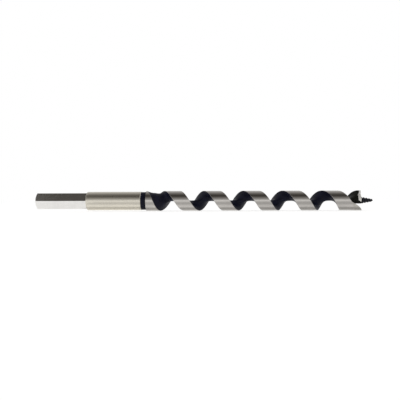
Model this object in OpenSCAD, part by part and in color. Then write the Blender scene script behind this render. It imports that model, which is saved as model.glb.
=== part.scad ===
// Auger bit for wood, of the open single-twist kind: a hexagonal drive shank, a ground round stem,
// a relief neck, one right-hand twist with no centre rod, and a head with one cutting lip, one
// scoring spur and a lead screw.
// The axis lies along +X from the middle of the hexagon's end face to the screw's point, +Z is up,
// and angles are measured about the axis from +Y towards +Z. Sizes are in millimetres.

/* [Overall] */
// Length from the hexagon's end face to the point of the lead screw
overall_l = 235; // [200:1:300]
// Diameter that the head cuts
cutting_d = 14; // [13.6:0.1:16]

/* [Hex shank] */
// Size across the hexagon's flats
hex_af = 11; // [9:0.1:11]
// Length of the hexagon, from its end face to the full stem
hex_l = 35.6; // [25:0.1:45]
// Diameter of the flat that the turned chamfer leaves on the hexagon's end
hex_end_d = 7.6; // [5:0.1:8.8]
// Slope of that chamfer, to the end face
hex_end_slope = 30; // [15:1:60]

/* [Round stem] */
// Diameter of the ground stem
stem_d = 12.9; // [12.8:0.1:13.6]
// Length of the ground stem, past the hexagon
stem_l = 37.3; // [20:0.1:45]
// Slope of the shoulder that runs from the hexagon's flats up to the stem, to the axis
shoulder_angle = 75; // [45:1:80]
// Chamfer at the stem's end beside the neck
stem_chamfer = 0.2; // [0.1:0.05:0.5]

/* [Relief neck] */
// Diameter of the turned-down neck
neck_d = 12.5; // [11:0.1:12.5]
// Length of the neck
neck_l = 3.6; // [2:0.1:6]

/* [Twist] */
// How much smaller the twist is over its lands than the hole that the head cuts
land_clear = 0.1; // [0.1:0.1:0.6]
// Length of one turn
pitch = 27.5; // [22:0.5:34]
// Arc of the land in a cross-section, in degrees
land_arc = 144; // [120:1:170]
// How far the core's nose stands past the axis, into the flute
core_past = 0.25; // [0.1:0.05:1]
// Half the width over which the core's nose is rounded
core_round = 1; // [0.6:0.1:2]
// How far the flute's walls are scooped out behind the land's edges, in degrees
flute_scoop = 5; // [0:1:25]
// Length of the plain collar before the flute starts
collar_l = 0.6; // [0.4:0.1:4]
// Length over which the flute runs down to its full depth
run_out_l = 17; // [12:0.5:26]
// Share of the run-out's length that its shallow entry takes
entry_share = 0.25; // [0.15:0.05:0.4]
// Depth of the shallow entry, as a share of the full depth
entry_depth = 0.2; // [0.1:0.05:0.4]
// How far the flute's edges close in at its start, in degrees on each side
entry_close = 45; // [0:1:60]

/* [Head] */
// Length of the head, back from the cutting lip
head_l = 12.3; // [11:0.1:16]
// Share of the head's length over which it swells from the twist's section
swell_share = 0.73; // [0.6:0.01:0.85]
// How far the land leads the even twist at the lip, in degrees
lip_lead = 35; // [10:1:45]
// Length over which the land widens by that lead, back from the lip
widen_l = 23; // [14:0.5:27]
// How far the head's core stands past the axis, into the throat, to carry the lead screw
head_core = 2.8; // [2.6:0.1:3.2]
// Angle of the cutting lip about the axis, before its bevel
lip_turn = 116; // [0:1:359]
// Length of the bevel that sharpens the lip, on its throat side
lip_bevel_l = 1.2; // [0.8:0.1:2.5]
// Share of the twist that the lip's bevel takes back
lip_bevel_share = 0.7; // [0.3:0.05:0.9]
// How far the head's end falls away behind the lip, at the land's far corner
lip_relief = 5; // [3:0.1:6]
// Diameter of the boss that carries the lead screw
boss_d = 4.6; // [3:0.1:4.6]
// How far the boss stands out past the lip
boss_out = 0.5; // [0.2:0.1:1]

/* [Scoring spur] */
// How far the spur's point stands out past the lip
spur_out = 0.9; // [0.3:0.05:1.2]
// Where the spur's tail starts, as a share of the head's length
spur_tail = 0.55; // [0.4:0.01:0.7]
// Bend of the spur's back: more climbs faster from its tail
spur_bend = 2.4; // [1.5:0.1:3]
// Thickness of the spur's wall at its root
spur_root_t = 1.8; // [1.2:0.1:2.4]
// Thickness of the spur's wall along its sharpened edge
spur_edge_t = 0.4; // [0.2:0.05:0.8]

/* [Lead screw] */
// Length of the lead screw, past the cutting lip
screw_l = 9.2; // [7:0.1:12]
// Diameter of the lead screw beside its boss
screw_base_d = 4.6; // [3.4:0.1:5]
// Diameter of the lead screw where its point starts
screw_tip_d = 1.8; // [0.8:0.1:2.4]
// Length of the lead screw's point
screw_point_l = 0.9; // [0.6:0.1:2]

/* [Hidden] */

// Stations along the axis
stem_end_x = hex_l + stem_l;
twist_x = stem_end_x + neck_l;
flute_x = twist_x + collar_l;
lip_x = overall_l - screw_l;
head_x = lip_x - head_l;
screw_x = lip_x + boss_out;

// Sizes that follow from the hexagon and the stem
hex_ac = hex_af / cos(30);
shoulder_l = (stem_d - hex_af) / 2 / tan(shoulder_angle);

// The twist follows the hole that the head cuts
twist_d = cutting_d - land_clear;

// Steps of the swept outlines
land_steps = 14;
flank_steps = 9;
outline_points = land_steps + 2 * flank_steps;
rings_per_turn = 24;
twist_rings = ceil((head_x - twist_x) / pitch * rings_per_turn);
head_rings = 10;
// Where a cap's fan of triangles meets, as a share of the land's radius
fan_share = 0.35;
// How far up the wall the scoop's control point lies, as a share of the land's radius
scoop_share = 0.45;
// Share of the run-out over which the flute's edges open to their full width
open_share = 0.6;
// How fast the head's end falls away beside the lead screw
fall_rate = 3;
// How deep the spur's blank reaches into the head below it
spur_sink = 1.2;
// Steps of the head's land that the spur's leading part stands on
spur_land_steps = 3;
// How deep the boss reaches back into the head
boss_sink = 8;
// Length of the boss's back part, which runs to a point inside the core
boss_cone_l = 5;
// How blunt the core's nose is where it stands far past the axis
nose_blunt = 1.4;

function mix(a, b, t) = a + (b - a) * t;
function limited(t) = min(1, max(0, t));
function eased(t) = pow(limited(t), 2) * (3 - 2 * limited(t));
function on_circle(r, a) = [r * cos(a), r * sin(a)];
function turned(p, a) = [p[0] * cos(a) - p[1] * sin(a), p[0] * sin(a) + p[1] * cos(a)];
function cubic(a, b, c, d, t) =
    pow(1 - t, 3) * a + 3 * t * pow(1 - t, 2) * b + 3 * t * t * (1 - t) * c + pow(t, 3) * d;

// The head swells from the twist's section to its own, and the land widens evenly towards the lip
function swell(x) = eased((x - head_x) / (swell_share * head_l));
function land_r(x) = mix(twist_d, cutting_d, swell(x)) / 2;
function core_at(x) = mix(core_past, head_core, swell(x));
function widening(x) = limited((x - lip_x + widen_l) / widen_l);
function land_turn(x) = lip_turn - land_arc / 2 - lip_lead + 360 * (x - lip_x) / pitch;
// Turn that the lip's bevel takes back, and turn by which the flute's edges close in at its start
function bevel_turn(x) = lip_bevel_share * 360 / pitch * max(0, x - lip_x + lip_bevel_l);
function close_turn(x) = entry_close * (1 - eased((x - flute_x) / (open_share * run_out_l)));
// Half arcs from the middle of the land to its leading corner, which carries the lip, and to its
// other corner
function lead_half(x) = land_arc / 2 + lip_lead * widening(x) - bevel_turn(x) + close_turn(x);
function back_half(x) = land_arc / 2 + close_turn(x);
// Depth of the flute as a share: a shallow entry first, then a smooth fall to the full depth
function flute_depth(x) =
    let (t = (x - flute_x) / run_out_l)
    entry_depth * sqrt(limited(t / entry_share))
        + (1 - entry_depth) * eased((t - entry_share) / (1 - entry_share));

// One wall of the flute, from the land's corner at angle h to the core's nose, which stands c past
// the axis
function flute_wall(r, h, c, t) =
    cubic(
        on_circle(r, h),
        on_circle(scoop_share * r, h - flute_scoop),
        [-c, max(core_round, nose_blunt * c)],
        [-c, 0],
        t
    );

// A point of the flute's outline: s is 0 at the leading corner, 0.5 on the core's nose and 1 at the
// other corner
function flute_point(x, s) =
    let (
        r = land_r(x),
        c = core_at(x),
        lead = lead_half(x),
        back = back_half(x),
        wall = s < 0.5 ? flute_wall(r, lead, c, 2 * s) : flute_wall(r, back, c, 2 - 2 * s),
        cut = s < 0.5 ? wall : [wall[0], -wall[1]],
        uncut = on_circle(r, mix(lead, 360 - back, s))
    ) mix(uncut, cut, flute_depth(x));

// The outline's point number j at station x: first along the land, then round the flute
function outline_point(x, j) =
    let (
        flat = j <= land_steps
            ? on_circle(land_r(x), mix(-back_half(x), lead_half(x), j / land_steps))
            : flute_point(x, (j - land_steps) / (2 * flank_steps)),
        p = turned(flat, land_turn(x))
    ) [x, p[0], p[1]];

// Middle of a cap at station x, for an outline turned as at station at_x
function fan_point(x, at_x) =
    let (p = turned([fan_share * land_r(at_x), 0], land_turn(at_x))) [x, p[0], p[1]];

// Station where the head ends, at outline point j: level along the lip, falling away round the land
// and steeply past the core's nose
function end_x(j) =
    let (past_nose = (j - land_steps) / flank_steps - 1)
    lip_x - lip_relief * (j <= land_steps ? 1 - j / land_steps : eased(fall_rate * past_nose));

// The head's stations, as shares of its length: even steps to the bevel, then the lip
bevel_share = 1 - lip_bevel_l / head_l;
head_shares = [for (k = [0:head_rings]) k < head_rings ? bevel_share * k / (head_rings - 1) : 1];

// The head's outline point number j on its ring number k
function head_point(k, j) = outline_point(mix(head_x, end_x(j), head_shares[k]), j);

// The spur's foot: the head's own corner from the spur's tail to the head's end, then the end of
// its land
spur_foot = concat(
    [for (k = [0:head_rings]) if (head_shares[k] >= spur_tail) head_point(k, 0)],
    [for (j = [1:spur_land_steps]) head_point(head_rings, j)]
);
// Angles of the foot's points about the axis, counted forward from the spur's tail
function angle_of(p) = atan2(p[2], p[1]);
function ahead_of(a, b) = (a - b + 720) % 360;
spur_angles = [for (p = spur_foot) ahead_of(angle_of(p), angle_of(spur_foot[0]))];
spur_arc = spur_angles[len(spur_angles) - 1];

// Lays a turned or straight form, drawn along +Z, along +X
module along_x(x) {
    translate([x, 0, 0]) rotate([0, 90, 0]) children();
}

// A closed skin over rings of points, each ring closed by a fan to its own middle point
module skin(rings, first_middle, last_middle) {
    n = len(rings[0]);
    last = len(rings) - 1;
    points = concat([for (ring = rings) each ring], [first_middle, last_middle]);
    sides = [
        for (k = [0:last - 1], j = [0:n - 1])
            let (a = k * n + j, b = k * n + (j + 1) % n, c = a + n, d = b + n)
            each [[a, c, b], [b, c, d]]
    ];
    first_fan = [for (j = [0:n - 1]) [j, (j + 1) % n, len(points) - 2]];
    last_fan = [for (j = [0:n - 1]) [last * n + (j + 1) % n, last * n + j, len(points) - 1]];
    polyhedron(points = points, faces = concat(sides, first_fan, last_fan));
}

module stem_blank() {
    along_x(0) rotate_extrude($fn = 96) polygon([
        [0, hex_l - shoulder_l],
        [hex_af / 2, hex_l - shoulder_l],
        [stem_d / 2, hex_l],
        [stem_d / 2, stem_end_x - stem_chamfer],
        [stem_d / 2 - stem_chamfer, stem_end_x],
        [0, stem_end_x]
    ]);
}

module head_blank() {
    rings = [for (k = [0:head_rings]) [for (j = [0:outline_points - 1]) head_point(k, j)]];
    skin(rings, fan_point(head_x, head_x), fan_point(lip_x - lip_relief / 2, lip_x));
}

// Hexagonal shank: two flats face up and down, its end is turned to a chamfer, and its other end
// laps over the stem's shoulder
module hex_shank() {
    end_r = hex_end_d / 2;
    color("silver") difference() {
        intersection() {
            along_x(0) rotate([0, 0, 30]) cylinder(d = hex_ac, h = hex_l, $fn = 6);
            along_x(0) rotate_extrude($fn = 96)
                polygon([[0, 0], [end_r, 0], [end_r + hex_l / tan(hex_end_slope), hex_l], [0, hex_l]]);
        }
        stem_blank();
    }
}

module round_stem() {
    color("gainsboro") stem_blank();
}

module relief_neck() {
    color("#1c1c22") along_x(stem_end_x) cylinder(d = neck_d, h = neck_l, $fn = 96);
}

// The twist: a plain collar, the flute's run-out and the full open twist up to the head
module twist() {
    stations = [for (k = [0:twist_rings]) mix(twist_x, head_x, k / twist_rings)];
    rings = [for (x = stations) [for (j = [0:outline_points - 1]) outline_point(x, j)]];
    color("#2a2a33") skin(rings, fan_point(twist_x, twist_x), fan_point(head_x, head_x));
}

// Boss for the lead screw, pointed at its back so that it rises smoothly out of the core
module boss_blank() {
    along_x(lip_x) rotate_extrude($fn = 48) polygon([
        [0, -boss_sink],
        [boss_d / 2, boss_cone_l - boss_sink],
        [boss_d / 2, boss_out],
        [0, boss_out]
    ]);
}

module cutting_head() {
    color("#24242c") union() {
        head_blank();
        boss_blank();
    }
}

// Scoring spur: a wall on the cutting diameter that stands on the head's corner and on the end of
// its land, ahead of the lip. Its back climbs to a point, and it thins to an edge along its top and
// its front.
module scoring_spur() {
    tail_a = angle_of(spur_foot[0]);
    r = cutting_d / 2;
    rings = [
        for (k = [0:len(spur_foot) - 1])
            let (
                t = spur_angles[k] / spur_arc,
                foot = spur_foot[k],
                a = tail_a + spur_angles[k],
                climb = 1 - pow(1 - t, spur_bend),
                top_x = max(foot[0] + spur_edge_t, mix(spur_foot[0][0], lip_x + spur_out, climb)),
                root = on_circle(r - mix(spur_root_t, spur_edge_t, pow(t, 4)), a),
                edge = on_circle(r - spur_edge_t, a),
                face = on_circle(r, a)
            ) [
                [foot[0] - spur_sink, root[0], root[1]],
                [top_x, edge[0], edge[1]],
                [top_x, face[0], face[1]],
                foot
            ]
    ];
    last = len(rings) - 1;
    function middle(ring) = (ring[0] + ring[1] + ring[2] + ring[3]) / 4;
    color("darkgray") difference() {
        skin(rings, middle(rings[0]), middle(rings[last]));
        head_blank();
    }
}

module lead_screw() {
    point_x = overall_l - screw_point_l;
    color("#1c1c22") along_x(0) rotate_extrude($fn = 64) polygon([
        [0, screw_x],
        [screw_base_d / 2, screw_x],
        [screw_tip_d / 2, point_x],
        [0, overall_l]
    ]);
}

hex_shank();
round_stem();
relief_neck();
twist();
cutting_head();
scoring_spur();
lead_screw();
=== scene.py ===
"""Looks of a wood auger bit: ground shank and stem, black-coated open twist, cutting head and lead screw.

The axis lies along +X from the middle of the hexagon's end face, and +Z is up. Sizes in the classes are in
millimetres and degrees, as in the part's source, and meshes are in metres. Angles about the axis run from
+Y towards +Z.
"""
import logging
import math
from dataclasses import dataclass
from enum import Enum
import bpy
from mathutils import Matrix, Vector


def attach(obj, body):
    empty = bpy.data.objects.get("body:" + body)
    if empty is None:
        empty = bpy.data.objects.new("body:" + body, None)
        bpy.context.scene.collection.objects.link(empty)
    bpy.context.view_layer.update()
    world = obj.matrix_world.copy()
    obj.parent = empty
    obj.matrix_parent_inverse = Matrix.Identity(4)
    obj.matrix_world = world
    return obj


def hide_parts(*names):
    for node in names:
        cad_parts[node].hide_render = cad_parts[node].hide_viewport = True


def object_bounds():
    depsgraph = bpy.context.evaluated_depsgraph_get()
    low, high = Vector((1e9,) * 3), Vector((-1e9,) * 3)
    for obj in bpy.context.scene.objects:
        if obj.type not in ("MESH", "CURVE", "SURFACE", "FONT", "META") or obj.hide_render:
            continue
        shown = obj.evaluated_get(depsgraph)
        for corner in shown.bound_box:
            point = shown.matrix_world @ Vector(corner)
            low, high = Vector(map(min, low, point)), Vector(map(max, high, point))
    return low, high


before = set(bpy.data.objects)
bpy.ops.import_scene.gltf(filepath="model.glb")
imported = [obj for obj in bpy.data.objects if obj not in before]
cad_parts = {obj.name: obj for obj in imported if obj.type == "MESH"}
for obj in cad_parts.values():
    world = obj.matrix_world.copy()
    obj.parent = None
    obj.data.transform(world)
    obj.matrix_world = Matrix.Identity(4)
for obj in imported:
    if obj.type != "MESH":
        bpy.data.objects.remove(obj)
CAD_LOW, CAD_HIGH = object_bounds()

from types import ModuleType
from typing import ClassVar, Sequence, Union

import bmesh
import bpy
import numpy as np

LOG = logging.getLogger("auger_bit")
MM = 0.001
BODY = "root"
GROUND = "ground"  # attribute of a face's corners that marks the ground lip
WELD = 2e-7  # metres between points that are merged
SLIVER = 1e-7  # metres of an edge that is dropped

Colour = tuple[float, float, float]
Place = tuple[float, float, float]
Pairs = tuple[tuple[float, float], ...]
Term = Union["Field", bpy.types.NodeSocket, float, int, tuple]
Values = Union["Field", float, np.ndarray]


class Slot(Enum):
    """The record's material slots."""

    GROUND_STEEL = "ground_steel"
    BLACK_COAT = "black_coat"


class Node(Enum):
    """The CAD nodes that the pieces stand for."""

    HEX_SHANK = "hex_shank"
    ROUND_STEM = "round_stem"
    RELIEF_NECK = "relief_neck"
    TWIST = "twist"
    CUTTING_HEAD = "cutting_head"
    SCORING_SPUR = "scoring_spur"
    LEAD_SCREW = "lead_screw"


class Ease(Enum):
    """How a Map Range node goes from its low to its high end."""

    STRAIGHT = "LINEAR"
    SMOOTH = "SMOOTHSTEP"


class TreeKind(Enum):
    """The kinds of node group, by the start of Blender's names for their trees and nodes."""

    GEOMETRY = "GeometryNode"
    SHADER = "ShaderNode"


# Rules that the pieces share

def blend(low: Values, high: Values, share: Values) -> Values:
    """A number, array or field that lies between two others."""
    return low + (high - low) * share


def eased(t: np.ndarray) -> np.ndarray:
    """A smooth step from 0 to 1."""
    t = np.clip(t, 0.0, 1.0)
    return t * t * (3 - 2 * t)


def on_circle(angle: float | np.ndarray) -> np.ndarray:
    """Points of the unit circle at angles in radians, as rows of two coordinates."""
    return np.stack([np.cos(angle), np.sin(angle)], -1)


def flute_wall(
    maths: Union["Graph", ModuleType], flute: Values, lead: Values, back: Values, r: Values, past: Values,
    rounding: Values, scoop: Values, scoop_share: Values,
) -> tuple[Values, Values]:
    """A point of the flute's wall: a cubic curve from each edge of the land to the core's nose.

    Args:
        maths: what gives cosines and sines: numpy for arrays, or a graph for fields.
        flute: place along the flute, from 0 at the leading edge to 1 at the back edge.
        lead: angle from the land's middle to its leading edge, in radians.
        back: angle from the land's middle to its back edge.
        r: the land's radius.
        past: how far the core's nose lies past the axis.
        rounding: how far the nose's curve reaches to each side.
        scoop: angle that the wall leans inward by at the land.
        scoop_share: how far in it leans, as a share of the radius.

    Returns:
        Two coordinates, the first of them along the land's middle.
    """
    second = flute > 0.5
    t = flute * 2 + second * (2 - flute * 4)
    rest = 1 - t
    k0, k1, k2, k3 = rest * rest * rest, t * rest * rest * 3, t * t * rest * 3, t * t * t
    half = blend(lead, back, second)
    inner = half - scoop
    u = k0 * r * maths.cos(half) + k1 * scoop_share * r * maths.cos(inner) - (k2 + k3) * past
    v = k0 * r * maths.sin(half) + k1 * scoop_share * r * maths.sin(inner) + k2 * rounding
    return u, v * (1 - second * 2)


@dataclass(frozen=True)
class Stations:
    """Places along the axis where one piece ends and the next begins."""

    hex_end: float = 35.6
    stem_end: float = 72.9
    twist: float = 76.5
    flute: float = 77.1
    head: float = 213.5
    lip: float = 225.8
    screw: float = 226.3
    tip: float = 235.0


AT = Stations()


@dataclass(frozen=True)
class Shoulder:
    """The cone between the hexagon and the stem, which both pieces end on."""

    across_flats: float = 11.0
    stem_d: float = 12.9
    angle: float = 75.0

    @property
    def slope(self) -> float:
        """Growth of the cone's radius along the axis."""
        return math.tan(math.radians(self.angle))

    @property
    def start(self) -> float:
        """Station where the cone is as wide as the hexagon's flats."""
        return AT.hex_end - (self.stem_d - self.across_flats) / 2 / self.slope


@dataclass(frozen=True)
class Flute:
    """The rule of the open twist's cross-section, which the twist, the head and the spur share."""

    twist_d: float = 13.9
    cutting_d: float = 14.0
    pitch: float = 27.5
    land_arc: float = 144.0
    core_past: float = 0.25  # how far the core's nose lies past the axis
    core_round: float = 1.0  # how far the nose's curve reaches to each side, at least
    scoop: float = 5.0  # angle that the wall leans inward by at the land
    scoop_share: float = 0.45  # how far in it leans, as a share of the radius
    nose_blunt: float = 1.4  # reach of the nose's curve as a multiple of how far it lies past the axis
    run_out: float = 17.0  # length over which the flute reaches its full depth
    entry_share: float = 0.25  # share of the run-out that the first, steep cut takes
    entry_depth: float = 0.2  # depth of that cut, as a share of the full depth
    entry_close: float = 45.0  # angle that each side of the flute is closed by at its start
    open_share: float = 0.6  # share of the run-out after which both sides are open
    lip_turn: float = 116.0  # angle of the lip about the axis, before its bevel
    lip_lead: float = 35.0  # angle that the land is widened by at the lip
    widen_l: float = 23.0  # length over which it widens
    swell_share: float = 0.73  # share of the head's length over which it swells
    head_core: float = 2.8  # how far the core's nose lies past the axis in the head
    bevel_l: float = 1.2
    bevel_share: float = 0.7  # share of the twist's turn that the bevel takes back
    relief: float = 5.0  # how far the end falls away behind the lip
    fall_rate: float = 3.0  # how fast it falls from the lip's inner end
    fan_share: float = 0.35  # radius of a cap's middle, as a share of the land's
    land_share: float = 0.535  # share of the places round the section that the land takes
    edge_round: float = 0.006  # rounding of the land's edges, as a share of the places round
    lip_round: float = 0.0015  # the same at the lip

    # Steps along the outline, and their weights, that rounding an edge averages over
    TAPS: ClassVar[Pairs] = ((-1.0, 0.125), (-0.5, 0.25), (0.0, 0.25), (0.5, 0.25), (1.0, 0.125))

    @property
    def swell_end(self) -> float:
        """Station where the head has its full diameter."""
        return AT.head + self.swell_share * (AT.lip - AT.head)

    def swell(self, x: np.ndarray) -> np.ndarray:
        """How far the head has swelled from the twist's section, from 0 to 1."""
        return eased((x - AT.head) / (self.swell_end - AT.head))

    def widening(self, x: np.ndarray) -> np.ndarray:
        """How far the land has widened towards the lip, from 0 to 1."""
        return np.clip((x - AT.lip + self.widen_l) / self.widen_l, 0.0, 1.0)

    def turn(self, x: float | np.ndarray) -> float | np.ndarray:
        """Angle of the land's middle at a station, in degrees."""
        return self.lip_turn - self.land_arc / 2 - self.lip_lead + 360 * (x - AT.lip) / self.pitch

    def along_flute(self, share: np.ndarray) -> np.ndarray:
        """Place along the flute, from 0 to 1, for a place round the whole section."""
        return (share - self.land_share) / (1 - self.land_share)

    def head_outline(self, x: np.ndarray, share: np.ndarray) -> np.ndarray:
        """Points of the head's section before it is turned.

        Args:
            x: stations.
            share: places round the section, from 0 to 1: the land first, then the flute.

        Returns:
            Rows of two coordinates.
        """
        share = np.mod(share, 1.0)
        swell = self.swell(x)
        r = blend(self.twist_d, self.cutting_d, swell) / 2
        core = blend(self.core_past, self.head_core, swell)
        bevel = self.bevel_share * 360 / self.pitch * np.maximum(0, x - AT.lip + self.bevel_l)
        lead = np.radians(self.land_arc / 2 + self.lip_lead * self.widening(x) - bevel)
        back = np.full_like(lead, math.radians(self.land_arc / 2))
        land = r[..., None] * on_circle(blend(-back, lead, share / self.land_share))
        rounding = np.maximum(self.core_round, self.nose_blunt * core)
        scoop = math.radians(self.scoop)
        wall = flute_wall(
            np, self.along_flute(share), lead, back, r, core, rounding, scoop, self.scoop_share)
        return np.where((share <= self.land_share)[..., None], land, np.stack(wall, -1))

    def head_point(self, x: np.ndarray, share: np.ndarray) -> np.ndarray:
        """Points of the head's skin, with the land's edges rounded.

        Args:
            x: stations.
            share: places round the section.

        Returns:
            Rows of x, y, z.
        """
        blunt = blend(self.edge_round, self.lip_round, self.swell(x))
        flat = sum(weight * self.head_outline(x, share + step * blunt) for step, weight in self.TAPS)
        u, v = flat[..., 0], flat[..., 1]
        turn = np.radians(self.turn(x))
        c, s = np.cos(turn), np.sin(turn)
        return np.stack([np.broadcast_to(x, u.shape), u * c - v * s, u * s + v * c], -1)

    def end_x(self, share: np.ndarray) -> np.ndarray:
        """Where the head ends: level along the lip, falling away behind it.

        Args:
            share: places round the section.

        Returns:
            The stations.
        """
        along = np.clip(share / self.land_share, 0, 1)
        flute = np.clip(self.along_flute(share), 0, 1)
        fall = np.where(share <= self.land_share, 1 - along, eased(self.fall_rate * (2 * flute - 1)))
        return AT.lip - self.relief * fall

    def fan_point(self, x: float, turned_at: float) -> np.ndarray:
        """Middle of a cap.

        Args:
            x: the cap's station.
            turned_at: the station that its section is turned as at.

        Returns:
            The point's x, y, z.
        """
        radius = self.fan_share * (self.twist_d if turned_at <= AT.head else self.cutting_d) / 2
        return np.array([x, *(radius * on_circle(math.radians(self.turn(turned_at))))])


FLUTE = Flute()


# Node trees

class Field:
    """A value in a node tree that adds and multiplies as a number does."""

    def __init__(self, graph: "Graph", socket: bpy.types.NodeSocket) -> None:
        """Keeps the tree's builder and the socket that puts the value out."""
        self.graph = graph
        self.socket = socket

    def __add__(self, other: Term) -> "Field":
        """Sum."""
        return self.graph.math("ADD", self, other)

    def __sub__(self, other: Term) -> "Field":
        """Difference."""
        return self.graph.math("SUBTRACT", self, other)

    def __rsub__(self, other: Term) -> "Field":
        """Difference from a plain number."""
        return self.graph.math("SUBTRACT", other, self)

    def __mul__(self, other: Term) -> "Field":
        """Product."""
        return self.graph.math("MULTIPLY", self, other)

    def __truediv__(self, other: Term) -> "Field":
        """Quotient."""
        return self.graph.math("DIVIDE", self, other)

    def __pow__(self, other: Term) -> "Field":
        """Power."""
        return self.graph.math("POWER", self, other)

    def __neg__(self) -> "Field":
        """Negative."""
        return self.graph.math("MULTIPLY", self, -1.0)

    def __lt__(self, other: Term) -> "Field":
        """1 where the value is less, and otherwise 0."""
        return self.graph.math("LESS_THAN", self, other)

    def __gt__(self, other: Term) -> "Field":
        """1 where the value is greater, and otherwise 0."""
        return self.graph.math("GREATER_THAN", self, other)

    __radd__ = __add__
    __rmul__ = __mul__


@dataclass(frozen=True)
class Grain:
    """A noise's cells to a metre, along and across the axis, and how fine it is."""

    along: float
    across: float
    detail: float = 3.0
    rough: float = 0.6


class Graph:
    """A node tree that is built from plain expressions."""

    # A Mix node's sockets for numbers, vectors and colours share their names
    MIX_COLOURS: ClassVar[tuple[int, int]] = (6, 7)
    MIXED_COLOUR: ClassVar[int] = 2

    def __init__(self, tree: bpy.types.NodeTree, kind: TreeKind = TreeKind.SHADER) -> None:
        """Keeps the tree that nodes are added to.

        Args:
            tree: the tree.
            kind: what it works on.
        """
        self.tree = tree
        self.kind = kind
        self.entry: bpy.types.Node | None = None

    @classmethod
    def group(cls, name: str, kind: TreeKind, inputs: Sequence[tuple], outputs: dict[str, str]) -> "Graph":
        """Makes a node group with named sockets.

        Args:
            name: name of the group.
            kind: what the group works on.
            inputs: name, socket kind and default value (or None) of each input.
            outputs: name to socket kind of each output.

        Returns:
            The graph of the new group.
        """
        tree = bpy.data.node_groups.new(name, kind.value + "Tree")
        for label, socket, default in inputs:
            made = tree.interface.new_socket(name=label, in_out="INPUT", socket_type="NodeSocket" + socket)
            if default is not None:
                made.default_value = default
        for label, socket in outputs.items():
            tree.interface.new_socket(name=label, in_out="OUTPUT", socket_type="NodeSocket" + socket)
        graph = cls(tree, kind)
        graph.entry = tree.nodes.new("NodeGroupInput")
        return graph

    def input(self, name: str) -> Field:
        """The group's input of that name."""
        return Field(self, self.entry.outputs[name])

    def finish(self, results: dict[str, Term]) -> "Graph":
        """Links the group's outputs.

        Args:
            results: output name to its value.

        Returns:
            The graph itself.
        """
        self.put_all(self.tree.nodes.new("NodeGroupOutput"), results)
        return self

    def put(self, socket: bpy.types.NodeSocket, term: Term) -> None:
        """Gives a socket its value.

        Args:
            socket: the socket.
            term: a value to link, or a plain number or colour to set.
        """
        if isinstance(term, Field):
            term = term.socket
        if isinstance(term, bpy.types.NodeSocket):
            self.tree.links.new(term, socket)
        else:
            socket.default_value = term

    def put_all(self, node: bpy.types.Node, inputs: dict[str | int, Term]) -> None:
        """Gives a node's inputs, by name or number, their values."""
        for name, term in inputs.items():
            self.put(node.inputs[name], term)

    def node(
        self, kind: str, inputs: dict[str | int, Term] | None = None, **settings: object,
    ) -> bpy.types.Node:
        """Adds a node.

        Args:
            kind: Blender's name of the node type.
            inputs: socket name or number to its value.
            settings: the node's own options.

        Returns:
            The new node.
        """
        made = self.tree.nodes.new(kind)
        for name, value in settings.items():
            setattr(made, name, value)
        self.put_all(made, inputs or {})
        return made

    def use(self, group: "Graph", inputs: dict[str | int, Term]) -> bpy.types.Node:
        """Places a group and gives its inputs their values."""
        return self.node(group.kind.value + "Group", inputs, node_tree=group.tree)

    def out(self, node: bpy.types.Node, name: str | int = 0) -> Field:
        """One output of a node as a value."""
        return Field(self, node.outputs[name])

    def math(self, operation: str, *terms: Term) -> Field:
        """A Math node on one to three values."""
        return self.out(self.node("ShaderNodeMath", dict(enumerate(terms)), operation=operation))

    def cos(self, angle: Term) -> Field:
        """Cosine of an angle in radians."""
        return self.math("COSINE", angle)

    def sin(self, angle: Term) -> Field:
        """Sine of an angle in radians."""
        return self.math("SINE", angle)

    def fit(self, value: Term, low: Term, high: Term, ease: Ease = Ease.SMOOTH,
            to_low: Term = 0.0, to_high: Term = 1.0) -> Field:
        """Carries a value from one range to another, held at both ends.

        Args:
            value: the value.
            low: where the result is to_low.
            high: where the result is to_high.
            ease: straight or smooth.
            to_low: result at and below low.
            to_high: result at and above high.

        Returns:
            The carried value.
        """
        inputs = {"Value": value, "From Min": low, "From Max": high, "To Min": to_low, "To Max": to_high}
        return self.out(self.node("ShaderNodeMapRange", inputs, interpolation_type=ease.value, clamp=True))

    def split(self, vector: Term) -> tuple[Field, Field, Field]:
        """The three parts of a vector."""
        node = self.node("ShaderNodeSeparateXYZ", {0: vector})
        return self.out(node, 0), self.out(node, 1), self.out(node, 2)

    def join(self, *parts: Term) -> Field:
        """A vector of three values."""
        return self.out(self.node("ShaderNodeCombineXYZ", dict(enumerate(parts))))

    def distance(self, a: Field, b: Field) -> Field:
        """Length of the long side over two sides at a right angle."""
        return self.math("SQRT", a * a + b * b)

    def mix(self, share: Term, first: Term, second: Term) -> Field:
        """A colour between two colours.

        Args:
            share: 0 for the first colour and 1 for the second.
            first: the first colour.
            second: the second colour.

        Returns:
            The mixed colour.
        """
        inputs = {"Factor": share} | dict(zip(self.MIX_COLOURS, (first, second)))
        return self.out(self.node("ShaderNodeMix", inputs, data_type="RGBA"), self.MIXED_COLOUR)

    def noise(self, place: Term, grain: Grain) -> Field:
        """Even noise from 0 to 1 about a place.

        Args:
            place: the place, in metres.
            grain: the size of the noise's cells.

        Returns:
            The noise.
        """
        cells = (grain.along, grain.across, grain.across)
        scaled = self.node("ShaderNodeVectorMath", {0: place, 1: cells}, operation="MULTIPLY")
        return self.out(self.node("ShaderNodeTexNoise", {
            "Vector": scaled.outputs[0], "Scale": 1.0, "Detail": grain.detail, "Roughness": grain.rough}))


# Meshes

def linked(name: str, data: bpy.types.ID) -> bpy.types.Object:
    """Makes an object of a mesh, a lamp or a camera and puts it in the scene.

    Args:
        name: the object's name.
        data: what it shows.

    Returns:
        The object.
    """
    made = bpy.data.objects.new(name, data)
    bpy.context.scene.collection.objects.link(made)
    return made


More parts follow.
